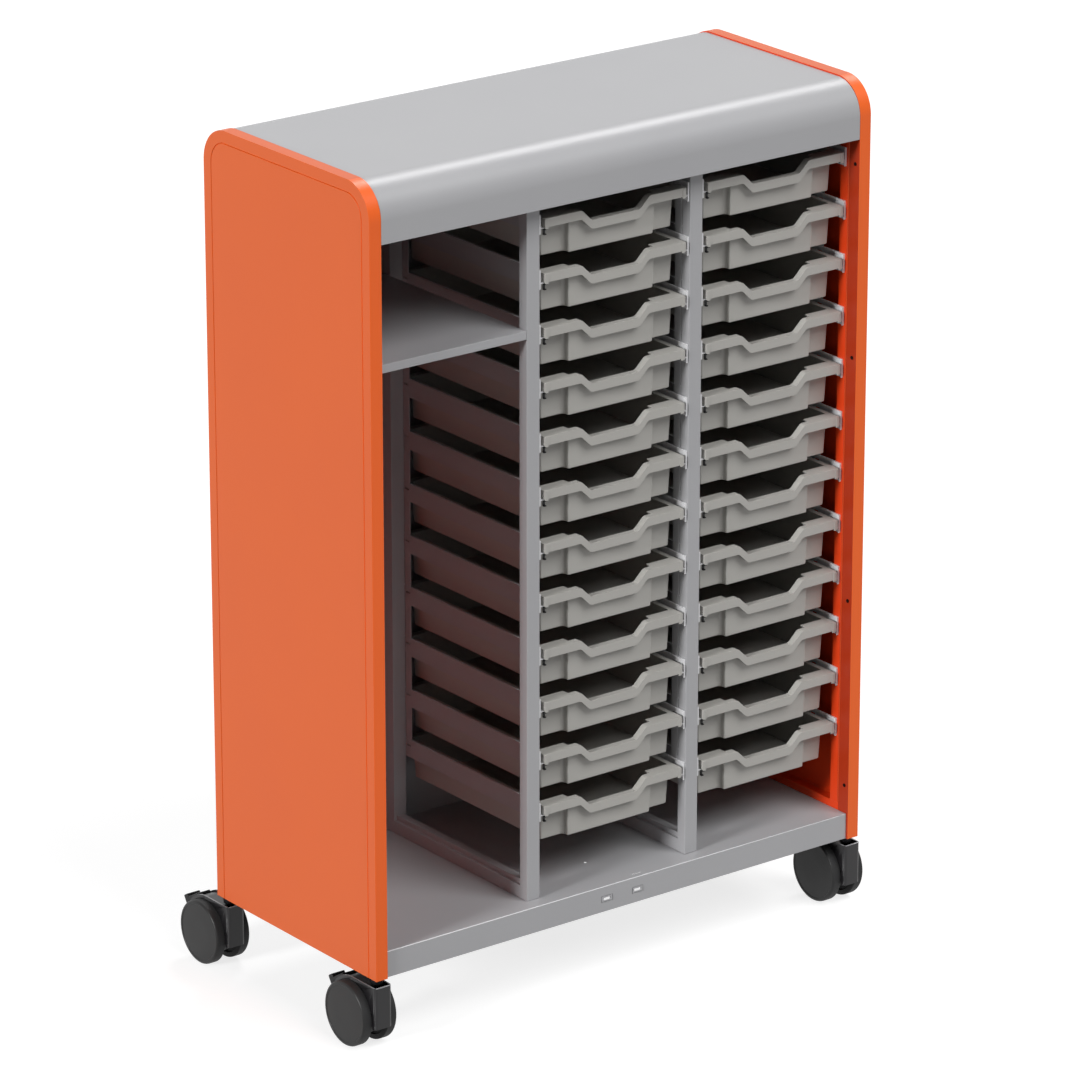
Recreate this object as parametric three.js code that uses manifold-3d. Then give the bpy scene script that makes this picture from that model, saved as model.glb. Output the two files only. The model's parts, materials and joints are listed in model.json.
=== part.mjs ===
// A mobile storage cabinet of formed steel: an open wardrobe bay with one shelf, and beside it columns of
// pull-out plastic trays, on four swivel casters with brakes.
// Millimetres, +Z up, +X to the right as seen from the front, and the front faces -Y.
// The origin is on the floor, under the middle of the whole object.

import * as THREE from "three";
import { mergeVertices } from "three/addons/utils/BufferGeometryUtils.js";
import Module from "manifold-3d";

const wasm = await Module();
wasm.setup();

// Fits that every piece shares
const seat = 0.3; // between two pieces that touch
const overrun = 4; // how far a cutting shape passes the face that it cuts
const flatness = 0.0005; // how far faces may lie from one plane and still count as one

// The tray, which sets the size of its bays and through them of the whole cabinet
const tray = {
  columns: ["middle", "right"],
  perColumn: 12,
  pitch: 99.6,
  width: 312,
  depth: 427,
  height: 76,
  wall: 2.4,
  rimHeight: 16.4,
  rimTop: 2.6,
  sideFlange: 10,
  rearFlange: 12,
  frontFlange: 28,
  draft: 7,
  bulgeForward: 13,
  bulgeHalfWidth: 92,
  dipDepth: 21,
  dipFloorHalfWidth: 53,
  dipMouthHalfWidth: 75,
  frontSetback: 30.9,
  rearRoom: 34.1,
  stopInset: 8,
  stopWidth: 6,
  stopHeight: 11,
  stopDepth: 9,
};

// The steel channels that the trays slide in, twelve to a ladder
const runner = {
  room: 10.25,
  sheet: 1.5,
  depth: 14.4,
  above: 12.2,
  below: 10.3,
  frontSetback: 2,
  lip: 4,
  strip: 17.6,
};

// The open frames between the bays
const divider = {
  width: 28,
  sheet: 1.5,
  frontSetback: 32.4,
  frontDepth: 21.8,
  rearDepth: 52,
  railHeight: 24,
  ridgeHeight: 9,
  ridgeInset: 6,
  topRailHeight: 34,
};

const wardrobe = {
  width: 332.5,
  shelfBelowLip: 225.3,
  shelfLip: 15.7,
  shelfSheet: 1.5,
  shelfReturn: 12,
};

const panel = {
  thickness: 25,
  sheet: 1.5,
  cornerRadius: 65,
  frontReturn: 50,
  rearReturn: 40,
  windowRadius: 12,
  windowSill: 14,
  grooveInset: 23,
  grooveWidth: 3,
  grooveDepth: 0.8,
  holeRadius: 2.2,
  holeSetback: 11,
  topHoleDrop: 154,
  bottomHoleRise: 104.7,
  middleHoleRises: [468.7, 937.2],
};

const top = {
  sheet: 1.5,
  belowPanel: 2.6,
  lipDrop: 106.3,
  lipReturn: 18,
  overTrays: 29,
};

const base = {
  height: 50,
  sheet: 1.5,
  flangeSetback: 4.3,
  flangeLift: 0.5,
  underTrays: 98.4,
  slotSpacing: 70,
  slotWidth: 14,
  slotHeight: 6,
  deckSlotWidth: 22,
  deckSlotDepth: 3,
  deckSlotSetback: 12,
  deckHoleRadius: 3,
  deckHoleSetback: 113.5,
};

const back = {
  sheet: 1.2,
  behindLip: 22,
};

const caster = {
  height: 139,
  inset: 14,
  setback: 18.5,
  trail: 49.3,
  wheelRadius: 60,
  wheelWidth: 18.5,
  shoulder: 3,
  rim: 8,
  dish: 0.8,
  innerEdge: 1,
  pairWidth: 73,
  axleRadius: 4,
  axleGrip: 9,
};

const hood = {
  width: 37.5,
  coreWidth: 34,
  wheelRoom: 1.2,
  front: 20.7,
  edge: 4,
  clearance: 7,
  rearAngle: 14,
  coreRadius: 44,
  skirtBottom: 96.5,
  skirtDepth: 9,
};

const stem = {
  radius: 6,
  intoPanel: 26,
  intoHood: 34,
  flangeRadius: 11,
};

const pedal = {
  width: 29,
  barrel: 5,
  pivotAngle: 56,
  sink: 2,
  reach: 45,
  thickness: 6,
  slope: 31,
  heel: 9,
  heelLength: 9,
  travel: 12,
  fit: 0.35,
};

// How many straight steps stand for a round
const steps = { corner: 7, window: 2, wheel: 20, small: 8, hood: 6, barrel: 10 };

const colours = {
  orange: { color: 0xe8662d, roughness: 0.42, metalness: 0.1 },
  silver: { color: 0xb4b4b6, roughness: 0.45, metalness: 0.35 },
  tray: { color: 0xb9b7b1, roughness: 0.55, metalness: 0 },
  black: { color: 0x39383a, roughness: 0.5, metalness: 0 },
  axle: { color: 0x8d8f92, roughness: 0.3, metalness: 0.9 },
};

// Sizes that follow from the ones above
const trayCount = tray.columns.length;
const trayBay = tray.width + 2 * runner.room;
const innerWidth = wardrobe.width + trayCount * (divider.width + trayBay);
const width = innerWidth + 2 * panel.thickness;
const depth = tray.frontSetback + tray.depth + tray.rearRoom;
const front = -depth / 2;
const rear = depth / 2;
const innerLeft = -innerWidth / 2;
const innerRight = innerWidth / 2;
const lowestRim = base.height + base.underTrays + tray.height;
const highestRim = lowestRim + (tray.perColumn - 1) * tray.pitch;
const lipBottom = highestRim + top.overTrays;
const panelHeight = lipBottom + top.lipDrop;
const topLevel = panelHeight - top.belowPanel;
const bullnose = panel.cornerRadius - top.belowPanel;
const dividerFront = front + divider.frontSetback;
const backFace = rear - top.sheet - seat - back.sheet;
const dividerRear = backFace - seat;
const postRear = dividerFront + divider.frontDepth;
const rearPostFront = dividerRear - divider.rearDepth;

// The places of the bays, from the left
const bays = tray.columns.map((name, index) => {
  const dividerLeft = innerLeft + wardrobe.width + index * (divider.width + trayBay);
  const left = dividerLeft + divider.width;
  return { name, dividerLeft, left, right: left + trayBay, middle: left + trayBay / 2 };
});

// Solids

function toSolid(geometry) {
  const plain = geometry.clone();
  plain.deleteAttribute("normal");
  plain.deleteAttribute("uv");
  const merged = mergeVertices(plain);
  const vertProperties = new Float32Array(merged.attributes.position.array);
  const triVerts = new Uint32Array(merged.index.array);
  return new wasm.Manifold(new wasm.Mesh({ numProp: 3, vertProperties, triVerts }));
}

function toGeometry(solid) {
  const mesh = solid.asOriginal().simplify(flatness).getMesh();
  const geometry = new THREE.BufferGeometry();
  geometry.setAttribute("position", new THREE.BufferAttribute(mesh.vertProperties, mesh.numProp));
  geometry.setIndex(new THREE.BufferAttribute(mesh.triVerts, 1));
  geometry.computeVertexNormals();
  return geometry;
}

function box(x0, x1, y0, y1, z0, z1) {
  return tapered([x0, x1, y0, y1], [x0, x1, y0, y1], z0, z1);
}

// A box whose lower face is smaller or larger than its upper one: low and high are [x0, x1, y0, y1]
function tapered(low, high, z0, z1) {
  const geometry = new THREE.BoxGeometry(1, 1, 1);
  const place = geometry.attributes.position;
  for (let i = 0; i < place.count; i += 1) {
    const face = place.getZ(i) < 0 ? low : high;
    const x = place.getX(i) < 0 ? face[0] : face[1];
    const y = place.getY(i) < 0 ? face[2] : face[3];
    place.setXYZ(i, x, y, place.getZ(i) < 0 ? z0 : z1);
  }
  return toSolid(geometry);
}

function extrude(shape, length, curveSegments) {
  return new THREE.ExtrudeGeometry(shape, { depth: length, bevelEnabled: false, curveSegments });
}

// An outline in (y, z), drawn out from x0 to x1
function alongX(shape, x0, x1, curveSegments = steps.corner) {
  const geometry = extrude(shape, x1 - x0, curveSegments);
  const turn = new THREE.Matrix4();
  turn.makeBasis(new THREE.Vector3(0, 1, 0), new THREE.Vector3(0, 0, 1), new THREE.Vector3(1, 0, 0));
  geometry.applyMatrix4(turn);
  geometry.translate(x0, 0, 0);
  return toSolid(geometry);
}

// An outline in (x, z), drawn out from y0 to y1
function alongY(shape, y0, y1, curveSegments = steps.corner) {
  const geometry = extrude(shape, y1 - y0, curveSegments);
  geometry.rotateX(Math.PI / 2);
  geometry.translate(0, y1, 0);
  return toSolid(geometry);
}

// A round bar along X, Y or Z, centred on a point, with its given length
function bar(axis, radius, length, x, y, z, sides = steps.small) {
  const geometry = new THREE.CylinderGeometry(radius, radius, length, sides);
  if (axis === "x") {
    geometry.rotateZ(Math.PI / 2);
  }
  if (axis === "z") {
    geometry.rotateX(Math.PI / 2);
  }
  geometry.translate(x, y, z);
  return toSolid(geometry);
}

// How wide a hole's corners lie, so that a round bar still turns between the hole's flat sides
function boreFor(radius) {
  return (radius + seat) / Math.cos(Math.PI / steps.barrel);
}

function joined(solids) {
  return solids.reduce((whole, next) => whole.add(next));
}

function cut(solid, tools) {
  return tools.reduce((left, tool) => left.subtract(tool), solid);
}

function piece(name, solid, look) {
  const material = new THREE.MeshStandardMaterial(colours[look]);
  const mesh = new THREE.Mesh(toGeometry(solid), material);
  mesh.name = name;
  return mesh;
}

// Side panels: a steel tray with its open side towards the bays, rounded at its two upper corners

function sideOutline(inset, bottom) {
  const radius = panel.cornerRadius - inset;
  const high = panelHeight - panel.cornerRadius;
  const shape = new THREE.Shape();
  shape.moveTo(front + inset, bottom);
  shape.lineTo(rear - inset, bottom);
  shape.lineTo(rear - inset, high);
  shape.absarc(rear - panel.cornerRadius, high, radius, 0, Math.PI / 2, false);
  shape.lineTo(front + panel.cornerRadius, high + radius);
  shape.absarc(front + panel.cornerRadius, high, radius, Math.PI / 2, Math.PI, false);
  shape.closePath();
  return shape;
}

function windowOutline() {
  const [y0, y1] = [front + panel.frontReturn, rear - panel.rearReturn];
  const [z0, z1] = [base.height + panel.windowSill, lipBottom];
  const r = panel.windowRadius;
  const shape = new THREE.Shape();
  shape.moveTo(y0 + r, z0);
  shape.lineTo(y1 - r, z0);
  shape.absarc(y1 - r, z0 + r, r, -Math.PI / 2, 0, false);
  shape.lineTo(y1, z1 - r);
  shape.absarc(y1 - r, z1 - r, r, 0, Math.PI / 2, false);
  shape.lineTo(y0 + r, z1);
  shape.absarc(y0 + r, z1 - r, r, Math.PI / 2, Math.PI, false);
  shape.lineTo(y0, z0 + r);
  shape.absarc(y0 + r, z0 + r, r, Math.PI, Math.PI * 1.5, false);
  return shape;
}

function sidePanel(side) {
  const outer = side * (width / 2);
  // Two depths, measured inwards from the outer face, as a low and a high x
  const span = (a, b) => [outer - side * a, outer - side * b].sort((p, q) => p - q);
  const between = (shape, a, b, count) => alongX(shape, ...span(a, b), count);
  const inner = panel.thickness - panel.sheet;
  const ring = between(sideOutline(panel.grooveInset, -overrun), -overrun, panel.grooveDepth).subtract(
    between(sideOutline(panel.grooveInset + panel.grooveWidth, -2 * overrun), -2 * overrun, inner),
  );
  const hollow = between(sideOutline(panel.sheet, panel.sheet), panel.sheet, inner);
  const opening = between(windowOutline(), inner - overrun, panel.thickness + overrun, steps.window);
  const holeMiddle = outer - side * inner;
  const rises = [panel.bottomHoleRise, ...panel.middleHoleRises, panelHeight - panel.topHoleDrop];
  const holes = rises.map((z) =>
    bar("x", panel.holeRadius, 2 * overrun, holeMiddle, front + panel.holeSetback, z),
  );
  const sockets = [front + caster.setback, rear - caster.setback].map((y) =>
    bar("z", boreFor(stem.radius), 2 * overrun, outer - side * caster.inset, y, 0, steps.barrel),
  );
  return cut(between(sideOutline(0, 0), 0, panel.thickness), [ring, hollow, opening, ...holes, ...sockets]);
}

// The top: one sheet bent over a large radius at the front and the rear

function topOutline(inset, foot) {
  const radius = bullnose - inset;
  const high = topLevel - bullnose;
  const shape = new THREE.Shape();
  shape.moveTo(front + inset, foot);
  shape.lineTo(rear - inset, foot);
  shape.lineTo(rear - inset, high);
  shape.absarc(rear - bullnose, high, radius, 0, Math.PI / 2, false);
  shape.lineTo(front + bullnose, high + radius);
  shape.absarc(front + bullnose, high, radius, Math.PI / 2, Math.PI, false);
  shape.closePath();
  return shape;
}

function topPanel() {
  const [x0, x1] = [innerLeft + seat, innerRight - seat];
  const shell = alongX(topOutline(0, lipBottom), x0, x1);
  const inside = alongX(topOutline(top.sheet, lipBottom - overrun), x0 - overrun, x1 + overrun);
  const lip = box(x0, x1, front, front + top.lipReturn, lipBottom, lipBottom + top.sheet);
  return shell.subtract(inside).add(lip);
}

// How high the underside of the top is above a given y near the front
function undersideAt(y) {
  const across = Math.max(front + bullnose - y, 0);
  return topLevel - bullnose + Math.sqrt((bullnose - top.sheet) ** 2 - across ** 2);
}

function baseDeck() {
  const [x0, x1] = [innerLeft + seat, innerRight - seat];
  const [y0, y1] = [front + base.flangeSetback, backFace - seat];
  const slab = box(x0, x1, y0, y1, base.flangeLift, base.height);
  const hollow = box(
    x0 + base.sheet,
    x1 - base.sheet,
    y0 + base.sheet,
    y1 - base.sheet,
    base.flangeLift - overrun,
    base.height - base.sheet,
  );
  const middle = base.flangeLift + (base.height - base.flangeLift) / 2;
  const flangeSlots = [-base.slotSpacing / 2, base.slotSpacing / 2].map((x) =>
    box(
      x - base.slotWidth / 2,
      x + base.slotWidth / 2,
      y0 - overrun,
      y0 + overrun,
      middle - base.slotHeight / 2,
      middle + base.slotHeight / 2,
    ),
  );
  const deckSlot = box(
    base.slotSpacing / 2 - base.deckSlotWidth / 2 + base.slotWidth / 2,
    base.slotSpacing / 2 + base.deckSlotWidth / 2 + base.slotWidth / 2,
    y0 + base.deckSlotSetback,
    y0 + base.deckSlotSetback + base.deckSlotDepth,
    base.height - overrun,
    base.height + overrun,
  );
  const hole = bar("z", base.deckHoleRadius, 2 * overrun, 0, front + base.deckHoleSetback, base.height);
  return cut(slab, [hollow, ...flangeSlots, deckSlot, hole]);
}

function backPanel() {
  const [x0, x1] = [innerLeft + seat, innerRight - seat];
  return box(x0, x1, backFace, backFace + back.sheet, base.flangeLift, lipBottom + back.behindLip);
}

// A divider: two channel posts, a stepped bottom rail and a top rail
function dividerFrame(bay) {
  const [x0, x1] = [bay.dividerLeft, bay.dividerLeft + divider.width];
  const foot = base.height + seat;
  const head = topLevel - bullnose;
  const post = (y0, y1, high) =>
    box(x0, x1, y0, y1, foot, high).subtract(
      box(
        x0 + divider.sheet,
        x1 - divider.sheet,
        y0 + divider.sheet,
        y1 + overrun,
        foot - overrun,
        high + overrun,
      ),
    );
  const rail = (inset, z0, z1) =>
    box(x0 + inset, x1 - inset, postRear - divider.sheet, rearPostFront + divider.sheet, z0, z1);
  return joined([
    post(dividerFront, postRear, undersideAt(dividerFront) - 2 * seat),
    post(rearPostFront, dividerRear, head),
    rail(0, foot, foot + divider.railHeight),
    rail(divider.ridgeInset, foot, foot + divider.railHeight + divider.ridgeHeight),
    rail(0, head - divider.topRailHeight, head),
  ]);
}

function rimTopAt(level) {
  return highestRim - level * tray.pitch;
}

// The channels on one side of a tray bay, held by two upright strips. face is the x of the surface that
// they lie on and toBay is the direction from it into the bay.
function runnerLadder(face, toBay) {
  const reach = (a, b) => [face + toBay * a, face + toBay * b].sort((p, q) => p - q);
  const web = reach(seat, seat + runner.sheet);
  const leg = reach(seat, seat + runner.depth);
  const [y0, y1] = [dividerFront + runner.frontSetback, dividerRear - runner.frontSetback];
  const solids = [];
  for (let level = 0; level < tray.perColumn; level += 1) {
    const rimTop = rimTopAt(level);
    const ledge = rimTop - tray.rimHeight - seat;
    const head = rimTop + runner.above;
    solids.push(box(...web, y0, y1, ledge - runner.below, head));
    solids.push(box(...leg, y0, y1, ledge - runner.sheet, ledge));
    solids.push(box(...leg, y0, y1, head - runner.sheet, head));
    solids.push(box(...reach(seat, seat + runner.lip), y0, y0 + runner.sheet, ledge - runner.below, head));
  }
  const foot = rimTopAt(tray.perColumn - 1) - tray.rimHeight - seat - runner.below;
  const head = rimTopAt(0) + runner.above;
  solids.push(box(...web, postRear, postRear + runner.strip, foot, head));
  solids.push(box(...web, rearPostFront - runner.strip, rearPostFront, foot, head));
  return joined(solids);
}

// A tray, with its rim's top at z = 0 and the middle of its rim's front edge at x = 0, y = 0

function rimBand(drop) {
  const [w, floor, mouth] = [tray.width / 2, tray.dipFloorHalfWidth, tray.dipMouthHalfWidth];
  const shape = new THREE.Shape();
  shape.moveTo(-w, -drop);
  shape.lineTo(-mouth, -drop);
  shape.lineTo(-floor, -drop - tray.dipDepth);
  shape.lineTo(floor, -drop - tray.dipDepth);
  shape.lineTo(mouth, -drop);
  shape.lineTo(w, -drop);
  return shape;
}

// What lies above the dipped line that runs at the given distance under the rim's top
function aboveDip(drop) {
  const shape = rimBand(drop);
  shape.lineTo(tray.width / 2, tray.height);
  shape.lineTo(-tray.width / 2, tray.height);
  shape.closePath();
  return shape;
}

// What lies under the same line
function underDip(drop) {
  const shape = rimBand(drop);
  shape.lineTo(tray.width / 2, -tray.height);
  shape.lineTo(-tray.width / 2, -tray.height);
  shape.closePath();
  return shape;
}

function trayBody(inset, low, high) {
  const half = tray.width / 2 - tray.sideFlange - inset;
  const [y0, y1] = [tray.frontFlange + inset, tray.depth - tray.rearFlange - inset];
  const d = tray.draft;
  const main = tapered([d - half, half - d, y0 + d / 2, y1 - d], [-half, half, y0, y1], low, high);
  const bulge = tray.bulgeHalfWidth - inset;
  const y = y0 - tray.bulgeForward;
  const nose = tapered(
    [-bulge + d / 2, bulge - d / 2, y + d / 2, y1 / 2],
    [-bulge, bulge, y, y1 / 2],
    low,
    high,
  );
  return main.add(nose);
}

function trayShape() {
  const [w, l] = [tray.width / 2, tray.depth];
  const slab = box(-w, w, 0, l, -tray.rimHeight - tray.dipDepth, 0);
  const overFlange = alongY(aboveDip(0), -overrun, tray.frontFlange);
  const belowRim = alongY(underDip(tray.rimHeight), -overrun, tray.frontFlange);
  const lowerHalf = box(
    -w - overrun,
    w + overrun,
    tray.frontFlange - overrun,
    l + overrun,
    -tray.height,
    -tray.rimHeight,
  );
  const rim = cut(slab, [overFlange, belowRim, lowerHalf]);
  const underFlange = cut(
    box(-w + tray.wall, w - tray.wall, tray.wall, l - tray.wall, -tray.height, -tray.rimTop),
    [alongY(aboveDip(tray.rimTop), 0, tray.frontFlange)],
  );
  const shell = trayBody(0, -tray.height, 0).subtract(alongY(aboveDip(0), -overrun, tray.frontFlange));
  const inside = trayBody(tray.wall, tray.wall - tray.height, overrun);
  const stops = [-1, 1].map((side) =>
    box(
      side * (w - tray.stopInset) - tray.stopWidth / 2,
      side * (w - tray.stopInset) + tray.stopWidth / 2,
      tray.wall / 2,
      tray.stopDepth,
      -tray.rimHeight - tray.stopHeight,
      -tray.rimTop - tray.wall / 2,
    ),
  );
  return joined([rim.subtract(underFlange), shell, ...stops]).subtract(inside);
}

// Casters, with the swivel axis at x = 0, y = 0 and the panel's underside at z = 0

const axleDrop = caster.height - caster.wheelRadius;
const hoodRadius = caster.wheelRadius + hood.clearance;
const hoodTop = hoodRadius - axleDrop;
const pedalPivot = {
  y: caster.trail + Math.cos(THREE.MathUtils.degToRad(pedal.pivotAngle)) * (hoodRadius - pedal.sink),
  z: -axleDrop + Math.sin(THREE.MathUtils.degToRad(pedal.pivotAngle)) * (hoodRadius - pedal.sink),
};

function hoodOutline() {
  const end = THREE.MathUtils.degToRad(hood.rearAngle);
  const shape = new THREE.Shape();
  shape.moveTo(-hood.front, -hood.skirtBottom);
  shape.lineTo(hood.skirtDepth - hood.front, -hood.skirtBottom);
  shape.lineTo(caster.trail - hood.coreRadius, -axleDrop);
  shape.absarc(caster.trail, -axleDrop, hood.coreRadius, Math.PI, 2 * Math.PI, false);
  shape.absarc(caster.trail, -axleDrop, hoodRadius, end, Math.PI / 2, false);
  shape.lineTo(hood.edge - hood.front, hoodTop);
  shape.absarc(hood.edge - hood.front, hoodTop - hood.edge, hood.edge, Math.PI / 2, Math.PI);
  shape.closePath();
  return shape;
}

function casterHood() {
  const solid = alongX(hoodOutline(), -hood.width / 2, hood.width / 2, steps.hood);
  const low = hoodTop - stem.intoHood - seat;
  const high = hoodTop + overrun;
  const socket = bar("z", boreFor(stem.radius), high - low, 0, 0, (high + low) / 2, steps.barrel);
  const axleBore = boreFor(caster.axleRadius);
  const axleHole = bar("x", axleBore, hood.width + overrun, 0, caster.trail, -axleDrop, steps.barrel);
  const swing = pedal.reach * Math.sin(THREE.MathUtils.degToRad(pedal.travel));
  const wheelWells = [-1, 1].map((side) => {
    const middle = side * (hood.coreWidth / 2 + caster.wheelWidth / 2);
    const radius = caster.wheelRadius + hood.wheelRoom;
    return bar("x", radius, caster.wheelWidth, middle, caster.trail, -axleDrop, 2 * steps.wheel);
  });
  return cut(solid, [socket, axleHole, ...wheelWells, pedalBarrel(pedal.fit), pedalPlate(pedal.fit, swing)]);
}

// A body in the pedal's own frame, where it turns on the origin and lies along +Y, put where it belongs
function placePedal(geometry) {
  geometry.rotateX(-THREE.MathUtils.degToRad(pedal.slope));
  geometry.translate(0, pedalPivot.y, pedalPivot.z);
  return toSolid(geometry);
}

function pedalBarrel(room) {
  const width = pedal.width + 2 * room;
  return bar("x", pedal.barrel + room, width, 0, pedalPivot.y, pedalPivot.z, steps.barrel);
}

// The plate of the pedal, with room all round and more under it for the way that it swings
function pedalPlate(room, swing) {
  const [length, height] = [pedal.reach + room, pedal.thickness + room + swing];
  const geometry = new THREE.BoxGeometry(pedal.width + 2 * room, length, height);
  geometry.translate(0, length / 2, pedal.barrel - height / 2);
  return placePedal(geometry);
}

function brakePedal() {
  const heel = new THREE.BoxGeometry(pedal.width, pedal.heelLength, pedal.heel + pedal.thickness);
  heel.translate(
    0,
    pedal.reach - pedal.heelLength / 2,
    pedal.barrel + (pedal.heel - pedal.thickness) / 2,
  );
  return joined([pedalBarrel(0), pedalPlate(0, 0), placePedal(heel)]);
}

function casterWheel(side) {
  const [r, t, s] = [caster.wheelRadius, caster.wheelWidth, caster.shoulder];
  const bore = boreFor(caster.axleRadius);
  const profile = new THREE.Path();
  profile.moveTo(0, caster.axleGrip + seat);
  profile.lineTo(bore, caster.axleGrip + seat);
  profile.lineTo(bore, 0);
  profile.lineTo(r - caster.innerEdge, 0);
  profile.lineTo(r, caster.innerEdge);
  profile.absarc(r - s, t - s, s, 0, Math.PI / 2, false);
  profile.lineTo(r - s - caster.rim, t - caster.dish);
  profile.lineTo(0, t - caster.dish);
  const geometry = new THREE.LatheGeometry(profile.getPoints(2), steps.wheel);
  geometry.rotateZ(-side * (Math.PI / 2));
  geometry.translate(side * (caster.pairWidth / 2 - t), caster.trail, -axleDrop);
  return toSolid(geometry);
}

function casterAxle() {
  const length = caster.pairWidth - 2 * caster.wheelWidth + 2 * caster.axleGrip;
  return bar("x", caster.axleRadius, length, 0, caster.trail, -axleDrop, steps.barrel);
}

// The stem goes up into the panel and down into the hood, and its collar fills the gap between them
function casterStem() {
  const [low, high] = [hoodTop - stem.intoHood, stem.intoPanel];
  const rod = bar("z", stem.radius, high - low, 0, 0, (high + low) / 2, steps.barrel);
  const collar = bar("z", stem.flangeRadius, -hoodTop - 2 * seat, 0, 0, hoodTop / 2, steps.barrel);
  return rod.add(collar);
}

// The shelf of the wardrobe bay
function wardrobeShelf() {
  const [x0, x1] = [innerLeft + seat, bays[0].dividerLeft - seat];
  const [y0, y1] = [dividerFront, backFace - seat];
  const level = lipBottom - wardrobe.shelfBelowLip;
  const s = wardrobe.shelfSheet;
  const slab = box(x0, x1, y0, y1, level - wardrobe.shelfLip, level);
  const hollow = box(x0 + s, x1 - s, y0 + s, y1 - s, level - wardrobe.shelfLip + s, level - s);
  const mouth = box(
    x0 + wardrobe.shelfReturn,
    x1 - wardrobe.shelfReturn,
    y0 + wardrobe.shelfReturn,
    y1 - wardrobe.shelfReturn,
    level - wardrobe.shelfLip - overrun,
    level - wardrobe.shelfLip + 2 * s,
  );
  return cut(slab, [hollow, mouth]);
}

// The whole cabinet

function casterGroup(name, x, y) {
  const group = new THREE.Group();
  group.position.set(x, y, 0);
  group.add(piece(`${name}_stem`, casterStem(), "axle"));
  group.add(piece(`${name}_hood`, casterHood(), "black"));
  group.add(piece(`${name}_axle`, casterAxle(), "axle"));
  group.add(piece(`${name}_wheel_left`, casterWheel(-1), "black"));
  group.add(piece(`${name}_wheel_right`, casterWheel(1), "black"));
  group.add(piece(`${name}_brake_pedal`, brakePedal(), "black"));
  return group;
}

const cabinet = new THREE.Group();
cabinet.add(piece("side_panel_left", sidePanel(-1), "orange"));
cabinet.add(piece("side_panel_right", sidePanel(1), "orange"));
cabinet.add(piece("top_panel", topPanel(), "silver"));
cabinet.add(piece("base_deck", baseDeck(), "silver"));
cabinet.add(piece("back_panel", backPanel(), "silver"));
cabinet.add(piece("wardrobe_shelf", wardrobeShelf(), "silver"));

const oneTray = trayShape();
for (const bay of bays) {
  cabinet.add(piece(`divider_${bay.name}`, dividerFrame(bay), "silver"));
  cabinet.add(piece(`runners_${bay.name}_left`, runnerLadder(bay.left, 1), "silver"));
  cabinet.add(piece(`runners_${bay.name}_right`, runnerLadder(bay.right, -1), "silver"));
  for (let level = 0; level < tray.perColumn; level += 1) {
    const mesh = piece(`tray_${bay.name}_${String(level + 1).padStart(2, "0")}`, oneTray, "tray");
    mesh.position.set(bay.middle, front + tray.frontSetback, rimTopAt(level));
    cabinet.add(mesh);
  }
}

for (const [sideName, side] of [["left", -1], ["right", 1]]) {
  for (const [endName, end] of [["front", -1], ["rear", 1]]) {
    const x = side * (width / 2 - caster.inset);
    const y = end * (depth / 2 - caster.setback);
    cabinet.add(casterGroup(`caster_${endName}_${sideName}`, x, y));
  }
}

// The casters trail behind the cabinet, so the middle of the footprint lies behind the cabinet's own
const bounds = new THREE.Box3().setFromObject(cabinet);
cabinet.position.set(0, -(bounds.min.y + bounds.max.y) / 2, caster.height);

const part = new THREE.Group();
part.add(cabinet);

export default part;
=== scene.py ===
# Looks for a mobile school cabinet: a wardrobe bay beside two columns of trays, on four twin-wheel casters
import json
import math

import bmesh
import bpy
from mathutils import Matrix, Vector


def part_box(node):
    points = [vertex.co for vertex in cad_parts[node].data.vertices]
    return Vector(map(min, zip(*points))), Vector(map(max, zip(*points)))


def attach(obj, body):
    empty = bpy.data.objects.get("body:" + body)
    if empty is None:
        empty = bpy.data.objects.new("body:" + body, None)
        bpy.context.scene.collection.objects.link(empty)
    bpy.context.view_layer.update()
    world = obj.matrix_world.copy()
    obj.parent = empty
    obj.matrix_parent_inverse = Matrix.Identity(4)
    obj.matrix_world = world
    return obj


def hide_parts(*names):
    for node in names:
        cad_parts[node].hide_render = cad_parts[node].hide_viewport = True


mm = 0.001
# Two places count as one within this distance
near = 1 * mm
# A cutting block stands over what it cuts by this much
over = 1 * mm
# A face looks one way where its normal's cosine with that way is above this
facing = 0.9
# and leans that way where it is above this
leaning = 0.5
# Steps that round an edge
steps = {
    "hairline": 2,
    "edge": 3,
    "corner": 4,
    "bend": 5,
    "round": 6,
    "shoulder": 7,
    "panelCorner": 28,
    "topBend": 32,
}
# Sides of a round piece
sides = {"screw": 24, "stem": 48, "core": 64, "wheel": 96, "hood": 128}
# Degrees between faces above which an edge is rounded, or drawn sharp
anyEdge = 40
sharpEdge = 50
sharpShading = 38
trayShading = 35

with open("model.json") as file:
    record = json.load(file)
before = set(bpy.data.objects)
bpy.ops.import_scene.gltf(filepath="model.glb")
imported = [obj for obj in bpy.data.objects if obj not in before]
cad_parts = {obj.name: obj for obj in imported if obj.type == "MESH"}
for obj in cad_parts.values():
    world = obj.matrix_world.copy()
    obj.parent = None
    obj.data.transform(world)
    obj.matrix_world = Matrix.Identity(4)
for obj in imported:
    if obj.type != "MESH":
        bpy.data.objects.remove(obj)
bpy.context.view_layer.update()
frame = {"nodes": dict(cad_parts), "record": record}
nodes = frame["nodes"]
bodies = frame["record"]["behaviour"]["bodies"]
bodyOf = {node: body for body, members in bodies.items() for node in members}
print("frame loaded:", len(nodes), "nodes,", len(bodyOf), "of them in bodies")


# Small tools for modelling

def only(obj):
    bpy.ops.object.select_all(action="DESELECT")
    obj.select_set(True)
    bpy.context.view_layer.objects.active = obj


def editing(obj, kind="FACE"):
    only(obj)
    bpy.ops.object.mode_set(mode="EDIT")
    bpy.ops.mesh.select_mode(type=kind)
    bpy.ops.mesh.select_all(action="DESELECT")


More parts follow.
